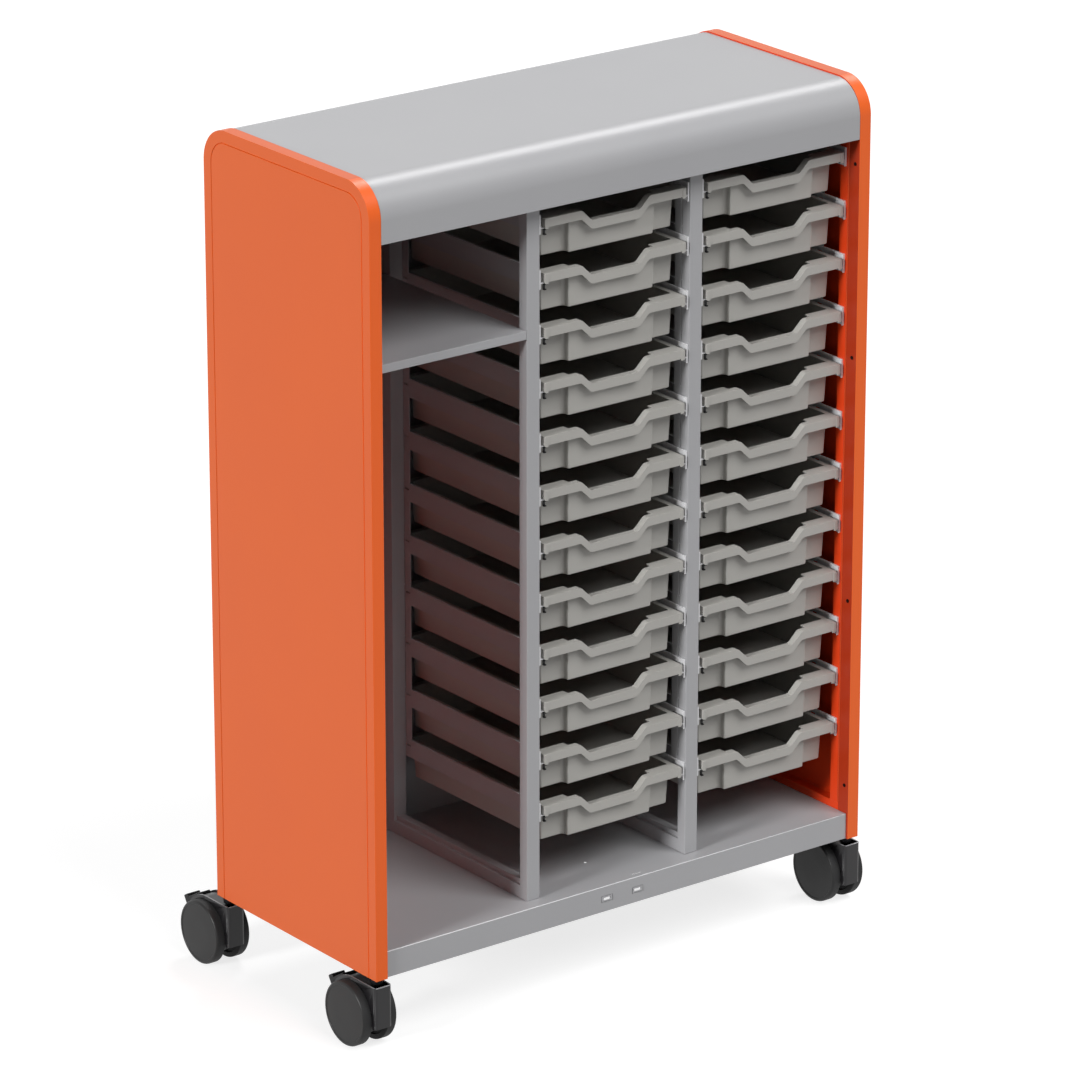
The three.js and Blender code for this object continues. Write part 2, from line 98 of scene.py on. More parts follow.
def finishEditing():
    bpy.ops.object.mode_set(mode="OBJECT")


def pickFaces(obj, test):
    mesh = bmesh.from_edit_mesh(obj.data)
    for face in mesh.faces:
        face.select_set(test(face.calc_center_median(), face.normal))
    bmesh.update_edit_mesh(obj.data)


def pickEdges(obj, test):
    mesh = bmesh.from_edit_mesh(obj.data)
    for edge in mesh.edges:
        edge.select_set(False)
    for edge in mesh.edges:
        if test(edge.verts[0].co, edge.verts[1].co):
            edge.select_set(True)
    bmesh.update_edit_mesh(obj.data)


def pickVerts(obj, test):
    mesh = bmesh.from_edit_mesh(obj.data)
    for vert in mesh.verts:
        vert.select_set(test(vert.co))
    mesh.select_flush_mode()
    bmesh.update_edit_mesh(obj.data)


# Cuts every face along a plane
def cutAt(place, normal, clearInner=False, fill=False):
    bpy.ops.mesh.select_all(action="SELECT")
    bpy.ops.mesh.bisect(plane_co=place, plane_no=normal, clear_inner=clearInner, use_fill=fill)
    bpy.ops.mesh.select_all(action="DESELECT")


def extrude(offset):
    bpy.ops.mesh.extrude_region_move(TRANSFORM_OT_translate={"value": offset})


def roundPicked(width, segments):
    bpy.ops.mesh.bevel(offset=width, segments=segments, affect="EDGES")


def block(name, low, high):
    middle = [(a + b) / 2 for a, b in zip(low, high)]
    size = [b - a for a, b in zip(low, high)]
    bpy.ops.object.select_all(action="DESELECT")
    bpy.ops.mesh.primitive_cube_add(size=1, location=middle)
    obj = bpy.context.object
    obj.name = name
    obj.scale = size
    bpy.ops.object.transform_apply(location=True, rotation=True, scale=True)
    return obj


def rod(name, axis, radius, length, place, count=sides["core"]):
    turn = {"x": (0, math.pi / 2, 0), "z": (0, 0, 0)}[axis]
    bpy.ops.object.select_all(action="DESELECT")
    bpy.ops.mesh.primitive_cylinder_add(
        vertices=count, radius=radius, depth=length, location=place, rotation=turn
    )
    obj = bpy.context.object
    obj.name = name
    bpy.ops.object.transform_apply(location=True, rotation=True, scale=True)
    return obj


def finishWith(obj, kind, **settings):
    only(obj)
    modifier = obj.modifiers.new(kind.title(), kind)
    for key, value in settings.items():
        setattr(modifier, key, value)
    bpy.ops.object.modifier_apply(modifier=modifier.name)


def softenEdges(obj, width, segments=steps["edge"], angle=anyEdge):
    finishWith(
        obj,
        "BEVEL",
        width=width,
        segments=segments,
        limit_method="ANGLE",
        angle_limit=math.radians(angle),
        use_clamp_overlap=True,
        miter_outer="MITER_ARC",
    )


# Smooth shading, in which flat faces stay flat beside their rounded edges
def smooth(obj, angle=sharpShading):
    only(obj)
    bpy.ops.object.shade_smooth_by_angle(angle=math.radians(angle))
    finishWith(obj, "WEIGHTED_NORMAL", keep_sharp=True)


def carve(obj, tool, operation="DIFFERENCE"):
    finishWith(obj, "BOOLEAN", object=tool, operation=operation, solver="EXACT")
    bpy.data.objects.remove(tool)


def joinAll(pieces):
    bpy.ops.object.select_all(action="DESELECT")
    for obj in pieces:
        obj.select_set(True)
    bpy.context.view_layer.objects.active = pieces[0]
    bpy.ops.object.join()
    return bpy.context.object


def paint(obj, *materials):
    obj.data.materials.clear()
    for material in materials:
        obj.data.materials.append(material)


# The piece is shown in place of its node, and moves with the node's body
def standFor(obj, name, node):
    obj.name = name
    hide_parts(node)
    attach(obj, bodyOf[node])


def moved(obj, name, offset):
    copy = obj.copy()
    copy.data = obj.data.copy()
    copy.name = name
    bpy.context.scene.collection.objects.link(copy)
    copy.data.transform(Matrix.Translation(offset))
    return copy


# Materials

# The sRGB standard's own curve
def toLinear(hexColour):
    value = hexColour.lstrip("#")
    channels = [int(value[i : i + 2], 16) / 255 for i in (0, 2, 4)]
    return [c / 12.92 if c <= 0.04045 else ((c + 0.055) / 1.055) ** 2.4 for c in channels] + [1.0]


def newMaterial(name):
    material = bpy.data.materials.new(name)
    material.use_nodes = True
    tree = material.node_tree
    return material, tree, tree.nodes["Principled BSDF"]


def addNode(tree, kind, settings=None, inputs=None):
    node = tree.nodes.new(kind)
    for key, value in (settings or {}).items():
        setattr(node, key, value)
    for key, value in (inputs or {}).items():
        if isinstance(value, bpy.types.NodeSocket):
            tree.links.new(value, node.inputs[key])
        else:
            node.inputs[key].default_value = value
    return node


cloudDetail = 3.0


# A faint cloud over colour and gloss, and a grain in the bump
def surface(tree, shader, look):
    place = addNode(tree, "ShaderNodeTexCoord").outputs["Object"]
    cloud = addNode(
        tree,
        "ShaderNodeTexNoise",
        None,
        {"Vector": place, "Scale": 1 / look["cloudSize"], "Detail": cloudDetail},
    )
    # inputs 6 and 7 and output 2 are the mix node's colours
    tone = addNode(
        tree,
        "ShaderNodeMix",
        {"data_type": "RGBA"},
        {"Factor": cloud.outputs["Fac"], 6: toLinear(look["colour"]), 7: toLinear(look["paler"])},
    )
    tree.links.new(tone.outputs[2], shader.inputs["Base Color"])
    gloss = addNode(
        tree,
        "ShaderNodeMapRange",
        None,
        {
            "Value": cloud.outputs["Fac"],
            "To Min": look["roughness"] - look["roughnessSpread"],
            "To Max": look["roughness"] + look["roughnessSpread"],
        },
    )
    tree.links.new(gloss.outputs["Result"], shader.inputs["Roughness"])
    grain = addNode(
        tree,
        "ShaderNodeTexNoise",
        None,
        {"Vector": place, "Scale": 1 / look["grain"], "Detail": look["grainDetail"]},
    )
    bump = addNode(
        tree,
        "ShaderNodeBump",
        None,
        {"Height": grain.outputs["Fac"], "Strength": look["bumpStrength"], "Distance": look["bumpDepth"]},
    )
    tree.links.new(bump.outputs["Normal"], shader.inputs["Normal"])


def makeMaterial(name, look):
    material, tree, shader = newMaterial(name)
    surface(tree, shader, look)
    shader.inputs["Metallic"].default_value = look.get("metallic", 0.0)
    shader.inputs["IOR"].default_value = look.get("ior", 1.5)
    return material


# Polyester powder coat, sprayed and baked: satin, with a faint orange peel about 3 mm from dimple to dimple
orangeCoat = {
    "colour": "#DB5C19",
    "paler": "#E0621E",
    "cloudSize": 240 * mm,
    "roughness": 0.36,
    "roughnessSpread": 0.03,
    "grain": 2.6 * mm,
    "grainDetail": 1.0,
    "bumpStrength": 0.16,
    "bumpDepth": 0.12 * mm,
    "ior": 1.4,
}
# On the panels' inner faces and in the recess the coat is painted deeper and redder: painted shade
innerShadeCoat = {**orangeCoat, "colour": "#DC3E14", "paler": "#E24418"}
# and on the band between the front edge and the strip the painted shade is the deepest
bandShadeCoat = {**orangeCoat, "colour": "#A93012", "paler": "#B03514"}
# The panels' front edges are painted brighter: a painted highlight
edgeHighlightCoat = {**orangeCoat, "colour": "#F2641B", "paler": "#F7691F"}
# The same coat in light grey on the sheet-steel parts
greyCoat = {
    "colour": "#A5A5A8",
    "paler": "#ADADAF",
    "cloudSize": 260 * mm,
    "roughness": 0.36,
    "roughnessSpread": 0.03,
    "grain": 2.2 * mm,
    "grainDetail": 1.5,
    "bumpStrength": 0.16,
    "bumpDepth": 0.12 * mm,
}
# A paler grey painted on the runners' channels and the deck's front bend: a painted highlight
highlightGreyCoat = {**greyCoat, "colour": "#DADADC", "paler": "#E2E2E4", "roughness": 0.34}
# Polypropylene, injection moulded in a spark-eroded tool: an even matt grain, drawn 1.2 mm wide to show
trayPolypropylene = {
    "colour": "#AAA8A3",
    "paler": "#B2B0AB",
    "cloudSize": 90 * mm,
    "roughness": 0.4,
    "roughnessSpread": 0.04,
    "grain": 1.2 * mm,
    "grainDetail": 2.0,
    "bumpStrength": 0.12,
    "bumpDepth": 0.08 * mm,
    "ior": 1.49,
}
# Glass-filled nylon, moulded: nearly black, a little cloudy, with a satin grain that the light greys
hoodNylon = {
    "colour": "#131214",
    "paler": "#19181A",
    "cloudSize": 30 * mm,
    "roughness": 0.34,
    "roughnessSpread": 0.05,
    "grain": 1.4 * mm,
    "grainDetail": 2.0,
    "bumpStrength": 0.15,
    "bumpDepth": 0.08 * mm,
    "ior": 1.46,
}
wheelNylon = {**hoodNylon, "colour": "#131313", "paler": "#191919", "roughness": 0.38, "ior": 1.37}
# Thermoplastic rubber round the wheel, darker and matt, its darkness partly painted shade; on the wheel's
# inner side the same dark is painted shade
treadRubberAndShade = {**hoodNylon, "colour": "#0C0C0D", "paler": "#121213", "roughness": 0.7, "bumpStrength": 0.3}
# The hood's upper rim is painted light grey: a painted highlight along its top edge
rimHighlightNylon = {**hoodNylon, "colour": "#8E8E91", "paler": "#9A9A9D", "roughness": 0.25}
# The brake pedal's black nylon; the same near-black is painted on the hood's core as painted shade in the
# opening under the skirt
pedalBlackAndShadeNylon = {**hoodNylon, "colour": "#060607", "paler": "#0B0B0C", "roughness": 0.45, "ior": 1.35}
# Turned steel with bright zinc plating
zincSteel = {
    "colour": "#A9ABAE",
    "paler": "#B9BBBD",
    "cloudSize": 12 * mm,
    "roughness": 0.3,
    "roughnessSpread": 0.06,
    "grain": 0.8 * mm,
    "grainDetail": 2.0,
    "bumpStrength": 0.1,
    "bumpDepth": 0.05 * mm,
    "metallic": 1.0,
}
# Black acetal, moulded and a little glossy
clipAcetal = {**hoodNylon, "colour": "#040405", "paler": "#08080A", "roughness": 0.4, "ior": 1.33}
# Steel with a black passivated zinc plating
blackSteel = {**zincSteel, "colour": "#1B1B1D", "paler": "#242426", "roughness": 0.45}

orangeSteel = makeMaterial("orangePowderCoatedSteel", orangeCoat)
innerShadeSteel = makeMaterial("powderCoatOrangePaintedShade", innerShadeCoat)
bandShadeSteel = makeMaterial("powderCoatOrangeBandPaintedShade", bandShadeCoat)
edgeHighlightSteel = makeMaterial("powderCoatOrangeEdgePaintedHighlight", edgeHighlightCoat)
highlightGreySteel = makeMaterial("powderCoatGreyPaintedHighlight", highlightGreyCoat)
rimHighlightPlastic = makeMaterial("mouldedNylonRimPaintedHighlight", rimHighlightNylon)
blackZinc = makeMaterial("blackZincPlate", blackSteel)
greySteel = makeMaterial("greyPowderCoatedSteel", greyCoat)
trayPlastic = makeMaterial("mouldedGreyPolypropylene", trayPolypropylene)
hoodPlastic = makeMaterial("mouldedGlassFilledNylon", hoodNylon)
wheelPlastic = makeMaterial("mouldedWheelNylon", wheelNylon)
rubberAndPaintedShade = makeMaterial("mouldedTreadRubberAndPaintedShade", treadRubberAndShade)
pedalBlackAndCoreShade = makeMaterial("mouldedBlackNylonAndPaintedShade", pedalBlackAndShadeNylon)
zinc = makeMaterial("zincPlatedSteel", zincSteel)
clipPlastic = makeMaterial("mouldedBlackAcetal", clipAcetal)
print("materials made")


# Side panels: formed sheet, made long at the foot so that the groove runs out at the bottom

sidePanel = {
    "cornerRadius": 65 * mm,
    "arris": 2.6 * mm,
    "grooveInset": 21.5 * mm,
    "grooveSlope": 0.8 * mm,
    "grooveFloor": 0.7 * mm,
    "grooveDepth": 1.9 * mm,
    "spareFoot": 60 * mm,
    "stripSetback": 28.5 * mm,
    "stripProud": 1.2 * mm,
    "stripBend": 1.1 * mm,
    "recessSetback": 50 * mm,
    "recessRearSetback": 40 * mm,
    "recessRise": 14 * mm,
    "recessDepth": 21 * mm,
    "recessCorner": 6 * mm,
    "edgeFacing": 0.8,
    "edgeForward": 0.1,
    "screwRadius": 3.6 * mm,
    "screwHeight": 1.2 * mm,
    "screwEdge": 0.48 * mm,
    "socketInset": 1.8 * mm,
    "socketWall": 0.18 * mm,
    "socketDepth": 0.72 * mm,
    "screwSetback": 11 * mm,
    "screwRises": [104.7 * mm, 468.7 * mm, 937.2 * mm, 1301.3 * mm],
}


def makeScrew(place, side):
    p = sidePanel
    screw = rod("screw", "x", p["screwRadius"], p["screwHeight"], place, sides["screw"])
    editing(screw)
    pickFaces(screw, lambda c, n: n.x * side < -facing)
    bpy.ops.mesh.inset(thickness=p["socketInset"])
    bpy.ops.mesh.inset(thickness=p["socketWall"], depth=-p["socketDepth"])
    finishEditing()
    softenEdges(screw, p["screwEdge"], steps["hairline"])
    return screw


def makeSidePanel(node):
    p = sidePanel
    low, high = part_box(node)
    side = 1 if low[0] > 0 else -1
    inner = low[0] if side > 0 else high[0]
    deck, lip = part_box("base_deck")[1][2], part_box("top_panel")[0][2]
    front, rear = low[1], high[1] - p["recessRearSetback"]
    panel = block(node + "_shell", (low[0], low[1], low[2] - p["spareFoot"]), high)
    editing(panel, "EDGE")
    pickEdges(panel, lambda a, b: min(a.z, b.z) > high[2] - near and abs(a.y - b.y) < near)
    roundPicked(p["cornerRadius"], steps["panelCorner"])
    bpy.ops.mesh.select_mode(type="FACE")
    pickFaces(panel, lambda c, n: n.x * side > facing)
    bpy.ops.mesh.inset(thickness=p["grooveInset"])
    bpy.ops.mesh.inset(thickness=p["grooveSlope"], depth=-p["grooveDepth"])
    bpy.ops.mesh.inset(thickness=p["grooveFloor"])
    bpy.ops.mesh.inset(thickness=p["grooveSlope"], depth=p["grooveDepth"])
    cutAt((0, 0, low[2]), (0, 0, 1), clearInner=True, fill=True)
    finishEditing()
    across = sorted([inner - side * p["recessDepth"], inner + side * p["recessDepth"]])
    start = (across[0], front + p["recessSetback"], deck + p["recessRise"])
    recess = block("recessTool", start, (across[1], rear, lip))
    softenEdges(recess, p["recessCorner"], steps["corner"])
    carve(panel, recess)
    # the band before the strip becomes a face of its own, for its painted shade
    editing(panel)
    cutAt((0, front + p["stripSetback"], 0), (0, 1, 0))
    finishEditing()
    softenEdges(panel, p["arris"], steps["bend"], sharpEdge)
    across = sorted([inner - side * p["stripProud"], inner + side * p["stripProud"]])
    strip = block(
        "uprightStrip",
        (across[0], front + p["stripSetback"], deck + p["recessRise"]),
        (across[1], front + p["recessSetback"] + p["stripProud"], lip),
    )
    softenEdges(strip, p["stripBend"])
    panel = joinAll([panel, strip])
    smooth(panel)
    paint(panel, orangeSteel, innerShadeSteel, bandShadeSteel, edgeHighlightSteel)
    # Painted light: inward faces and the recess get painted shade, the band before the strip the deepest
    # painted shade, and the front edges a painted highlight
    for face in panel.data.polygons:
        normal, centre = face.normal, face.center
        depth = (centre.x - inner) * side
        inward = normal.x * side < -leaning and depth < p["arris"] / 2
        within = front + p["recessSetback"] - near < centre.y < rear + near and deck < centre.z < lip + near
        sunk = within and depth < p["recessDepth"] + near
        onBand = inward and centre.y < front + p["stripSetback"] + near
        forward = abs(normal.x) < p["edgeFacing"] and normal.y < -p["edgeForward"]
        onEdge = forward and centre.y < front + p["cornerRadius"]
        face.material_index = 2 if onBand else 1 if inward or sunk else 3 if onEdge else 0
    standFor(panel, node + "_shell", node)
    head = inner - side * p["screwHeight"] / 2
    places = [(head, front + p["screwSetback"], low[2] + rise) for rise in p["screwRises"]]
    screws = joinAll([makeScrew(place, side) for place in places])
    smooth(screws)
    paint(screws, blackZinc)
    screws.name = node + "_screws"
    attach(screws, bodyOf[node])


for node in ("side_panel_left", "side_panel_right"):
    makeSidePanel(node)
print("side panels made")


# The top: one sheet bent over at the front and the rear

topSheet = {"radius": 62.4 * mm, "sheet": 1.5 * mm, "lipReturn": 18 * mm, "arris": 0.7 * mm}


def makeTop():
    t = topSheet
    low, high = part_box("top_panel")
    sheet = block("top_sheet", low, high)
    editing(sheet, "EDGE")
    pickEdges(sheet, lambda a, b: min(a.z, b.z) > high[2] - near and abs(a.y - b.y) < near)
    roundPicked(t["radius"], steps["topBend"])
    bpy.ops.mesh.select_mode(type="FACE")
    pickFaces(sheet, lambda c, n: n.z < -facing or abs(n.x) > facing)
    bpy.ops.mesh.delete(type="FACE")
    bpy.ops.mesh.select_mode(type="EDGE")
    pickEdges(sheet, lambda a, b: max(a.z, b.z) < low[2] + near and max(a.y, b.y) < low[1] + near)
    bpy.ops.mesh.extrude_edges_move(TRANSFORM_OT_translate={"value": (0, t["lipReturn"], 0)})
    bpy.ops.mesh.select_all(action="SELECT")
    bpy.ops.mesh.normals_make_consistent(inside=False)
    finishEditing()
    finishWith(sheet, "SOLIDIFY", thickness=t["sheet"], offset=-1)
    softenEdges(sheet, t["arris"], angle=sharpEdge)
    smooth(sheet)
    paint(sheet, greySteel)
    standFor(sheet, "top_sheet", "top_panel")


makeTop()
print("top made")


# Folded steel parts whose shape is right already get their bends rounded on a merged copy

foldedParts = {
    "base_deck": 1.8 * mm,
    "wardrobe_shelf": 1.0 * mm,
    "divider_middle": 1.3 * mm,
    "divider_right": 1.3 * mm,
    "back_panel": 0.4 * mm,
}
# The deck's front bend catches the light: it is picked by how far its faces look up, and painted paler as a
# painted highlight
palePart = "base_deck"
paleFrom = 0.1
paleTo = 0.98
mergeWithin = 0.02 * mm
flatWithin = 1


def makeFolded(node, bend):
    copy = moved(nodes[node], node + "_folded", Vector((0, 0, 0)))
    for key in list(copy.keys()):
        del copy[key]
    copy.parent = None
    editing(copy, "VERT")
    bpy.ops.mesh.select_all(action="SELECT")
    bpy.ops.mesh.remove_doubles(threshold=mergeWithin)
    bpy.ops.mesh.dissolve_limited(angle_limit=math.radians(flatWithin))
    front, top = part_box(node)[0][1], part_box(node)[1][2]
    if node == palePart:
        bpy.ops.mesh.select_mode(type="EDGE")
        pickEdges(copy, lambda a, b: min(a.z, b.z) > top - near / 10 and max(a.y, b.y) < front + near / 10)
        roundPicked(bend, steps["corner"])
    finishEditing()
    softenEdges(copy, bend, angle=sharpEdge)
    smooth(copy)
    paint(copy, greySteel, highlightGreySteel)
    for face in copy.data.polygons:
        atFront = node == palePart and face.center.y < front + bend and face.center.z > top - bend
        face.material_index = 1 if atFront and paleFrom < face.normal.z < paleTo else 0
    standFor(copy, node + "_folded", node)


for node, bend in foldedParts.items():
    makeFolded(node, bend)


# A pressed frame with a groove round it, at each slot in the base's front flange
slotFrame = {
    "spacing": 70 * mm,
    "width": 23 * mm,
    "height": 10 * mm,
    "border": 2.6 * mm,
    "proud": 0.7 * mm,
    "sink": 0.5 * mm,
    "bend": 0.3 * mm,
    "groove": 1.3 * mm,
    "grooveDepth": 1 * mm,
}


def makeSlotFrames():
    s = slotFrame
    low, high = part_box("base_deck")
    front, middle = low[1], (low[2] + high[2]) / 2
    deck = bpy.data.objects["base_deck_folded"]

    def around(name, x, extra, start, end):
        across, up = s["width"] / 2 + extra, s["height"] / 2 + extra
        return block(name, (x - across, front + start, middle - up), (x + across, front + end, middle + up))

    frames = []
    for x in (-s["spacing"] / 2, s["spacing"] / 2):
        surround = around("slotFrame", x, 0, -s["proud"], s["sink"])
        groove = around("slotGroove", x, s["groove"], -over, s["grooveDepth"])
        carve(groove, around("slotIsland", x, 0, -2 * over, s["grooveDepth"] + over))
        carve(deck, groove)
        carve(surround, around("slotHole", x, -s["border"], -over, over))
        softenEdges(surround, s["bend"], steps["hairline"])
        frames.append(surround)
    frames = joinAll(frames)
    frames.name = "base_deck_slot_frames"
    smooth(frames)
    paint(frames, greySteel)
    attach(frames, bodyOf["base_deck"])
    smooth(deck)


makeSlotFrames()
print("folded parts made")


# Runners: on each side of a column, one channel for each tray, held by two upright strips

runner = {
    "sheet": 1.5 * mm,
    "above": 7 * mm,
    "below": 28 * mm,
    "ledge": 16.7 * mm,
    "ledgeReach": 14.1 * mm,
    "lipOnPost": 3.8 * mm,
    "lipOnPanel": 5 * mm,
    "bend": 0.4 * mm,
    "postDepth": 21.8 * mm,
    "panelStripDepth": 62 * mm,
    "rearPostDepth": 52 * mm,
    "stripWidth": 17.6 * mm,
    "stripPlay": 0.1 * mm,
    "hookWidth": 12 * mm,
    "hookHeight": 3 * mm,
    "hookDrop": 10 * mm,
}


def makeChannel(web, front, rear, rimTop, toBay, lip):
    r = runner
    face = web[0] if toBay > 0 else web[1]
    head, ledge = rimTop + r["above"] - r["sheet"], rimTop - r["ledge"]
    foot, top = rimTop - r["below"], rimTop + r["above"]
    channel = block("channel", (web[0], front, foot), (web[1], rear, top))
    editing(channel)
    for z in (head, ledge, ledge - r["sheet"]):
        cutAt((0, 0, z), (0, 0, 1))
    cutAt((0, front + r["sheet"], 0), (0, 1, 0))

    def onLedge(c):
        return ledge - r["sheet"] < c.z < ledge

    def onLip(c):
        return c.z > head or onLedge(c) or c.y < front + r["sheet"]

    def onLedgeEnd(c):
        return onLedge(c) and abs(c.x - face) > lip - near / 10

    pickFaces(channel, lambda c, n: n.x * toBay > facing and onLip(c))
    extrude((toBay * (lip - r["sheet"]), 0, 0))
    pickFaces(channel, lambda c, n: n.x * toBay > facing and onLedgeEnd(c))
    extrude((toBay * (r["ledgeReach"] - lip), 0, 0))
    finishEditing()
    return channel


def hookSlots(web, starts, rimTops):
    r = runner
    slots = []
    for y in starts:
        middle = y + r["stripWidth"] / 2
        for rimTop in rimTops:
            z = rimTop + r["above"] - r["hookDrop"]
            low = (web[0] - over, middle - r["hookWidth"] / 2, z - r["hookHeight"])
            slots.append(block("hookSlot", low, (web[1] + over, middle + r["hookWidth"] / 2, z)))
    return joinAll(slots)


def makeRunners(column, side):
    r = runner
    node = f"runners_{column}_{side}"
    low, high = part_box(node)
    toBay = 1 if side == "left" else -1
    web = (low[0], low[0] + r["sheet"]) if toBay > 0 else (high[0] - r["sheet"], high[0])
    onPanel = node == "runners_right_right"
    lip = r["lipOnPanel"] if onPanel else r["lipOnPost"]
    rimTops = [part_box(name)[1][2] for name in sorted(nodes) if name.startswith(f"tray_{column}_")]
    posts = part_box("divider_middle")
    frontStrip = posts[0][1] + (r["panelStripDepth"] if onPanel else r["postDepth"])
    starts = (frontStrip, posts[1][1] - r["rearPostDepth"] - r["stripWidth"])
    channel = makeChannel(web, low[1], high[1], rimTops[0], toBay, lip)
    carve(channel, hookSlots(web, starts, rimTops[:1]))
    softenEdges(channel, r["bend"], steps["hairline"], sharpEdge)
    paint(channel, highlightGreySteel, greySteel)
    # the channels are painted paler as a painted highlight; faces turned away from the bay keep the grey
    # coat
    for face in channel.data.polygons:
        face.material_index = 1 if face.normal.x * toBay < -leaning else 0
    channels = [channel] + [moved(channel, "channel", Vector((0, 0, z - rimTops[0]))) for z in rimTops[1:]]
    foot, top = min(rimTops) - r["below"] + r["sheet"], max(rimTops) + r["above"] - r["sheet"]
    across = (web[0] + r["stripPlay"], web[1] - r["stripPlay"])
    strips = joinAll(
        [block("strip", (across[0], y, foot), (across[1], y + r["stripWidth"], top)) for y in starts]
    )
    carve(strips, hookSlots(web, starts, rimTops))
    paint(strips, greySteel)
    ladder = joinAll(channels + [strips])
    smooth(ladder)
    standFor(ladder, node + "_folded", node)


for column in ("middle", "right"):
    for side in ("left", "right"):
        makeRunners(column, side)
print("runners made")


# The tray: modelled once about the middle of its rim's front edge, with the rim's top at z = 0

tray = {
    "width": 312 * mm,
    "depth": 427 * mm,
    "height": 76 * mm,
    "wall": 2.4 * mm,
    "rimHeight": 16.4 * mm,
    "rimWall": 2.2 * mm,
    "rimEdge": 1.3 * mm,
    "rimFrontCorner": 2.5 * mm,
    "rimRearCorner": 9 * mm,
    "sideFlange": 8 * mm,
    "rearFlange": 12 * mm,
    "frontFlange": 26 * mm,
    "draft": 4 * mm,
    "draftDepth": 6 * mm,
    "draftCentre": 0.34,
    "mouthFacing": 0.3,
    "bulgeForward": 14.5 * mm,
    "bulgeHalf": 96 * mm,
    "bulgeFillet": 7 * mm,
    "bulgeCorner": 2.5 * mm,
    "dipDepth": 21 * mm,
    "dipFloor": 53 * mm,
    "dipMouth": 75 * mm,
    "dipRound": 3.5 * mm,
    "bodyCorner": 7 * mm,
    "footRound": 3 * mm,
    "wallEdge": 0.6 * mm,
}


def makeTrayBody():
    t = tray
    half = t["width"] / 2 - t["sideFlange"]
    front, rear = t["frontFlange"], t["depth"] - t["rearFlange"]
    nose = front - t["bulgeForward"]
    body = block("trayBody", (-half, front, -t["height"]), (half, rear, -t["rimWall"] / 2))
    editing(body)
    for x in (t["bulgeHalf"], t["dipMouth"], t["dipFloor"]):
        cutAt((-x, 0, 0), (1, 0, 0))
        cutAt((x, 0, 0), (1, 0, 0))
    pickFaces(body, lambda c, n: n.y < -facing and abs(c.x) < t["bulgeHalf"])
    extrude((0, -t["bulgeForward"], 0))
    bpy.ops.mesh.select_mode(type="EDGE")

    def roundUprights(x, y, radius, segments):
        def upright(a, b):
            return abs(a.z - b.z) > t["rimHeight"] and abs(abs(a.x) - x) < near and abs(a.y - y) < near

        pickEdges(body, upright)
        roundPicked(radius, segments)

    roundUprights(half, rear, t["bodyCorner"], steps["round"])
    roundUprights(half, front, t["bodyCorner"] / 2, steps["corner"])
    roundUprights(t["bulgeHalf"], front, t["bulgeFillet"], steps["round"])
    roundUprights(t["bulgeHalf"], nose, t["bulgeCorner"], steps["corner"])
    bpy.ops.mesh.select_mode(type="FACE")
    pickFaces(body, lambda c, n: n.z < -facing)
    bpy.ops.mesh.region_to_loop()
    roundPicked(t["footRound"], steps["corner"])
    bpy.ops.mesh.select_mode(type="VERT")
    # the walls draw in towards the floor, and the front of the dip lies lower
    pickVerts(body, lambda v: v.z < -t["height"] + t["footRound"] + near)
    wide = (half - t["draft"]) / half
    deep = (rear - front - t["draftDepth"]) / (rear - front)
    centre = (0, front + (rear - front) * t["draftCentre"], 0)
    bpy.ops.transform.resize(value=(wide, deep, 1), center_override=centre)
    pickVerts(body, lambda v: v.z > -t["rimWall"] and v.y < nose + near and abs(v.x) < t["dipFloor"] + near)
    bpy.ops.transform.translate(value=(0, 0, -t["dipDepth"]))
    bpy.ops.mesh.select_mode(type="FACE")
    pickFaces(body, lambda c, n: n.z > t["mouthFacing"] and c.z > -t["dipDepth"] - t["rimWall"])
    bpy.ops.mesh.delete(type="FACE")
    finishEditing()
    finishWith(body, "SOLIDIFY", thickness=t["wall"], offset=-1)
    softenEdges(body, t["wallEdge"], steps["hairline"], sharpEdge)
    return body


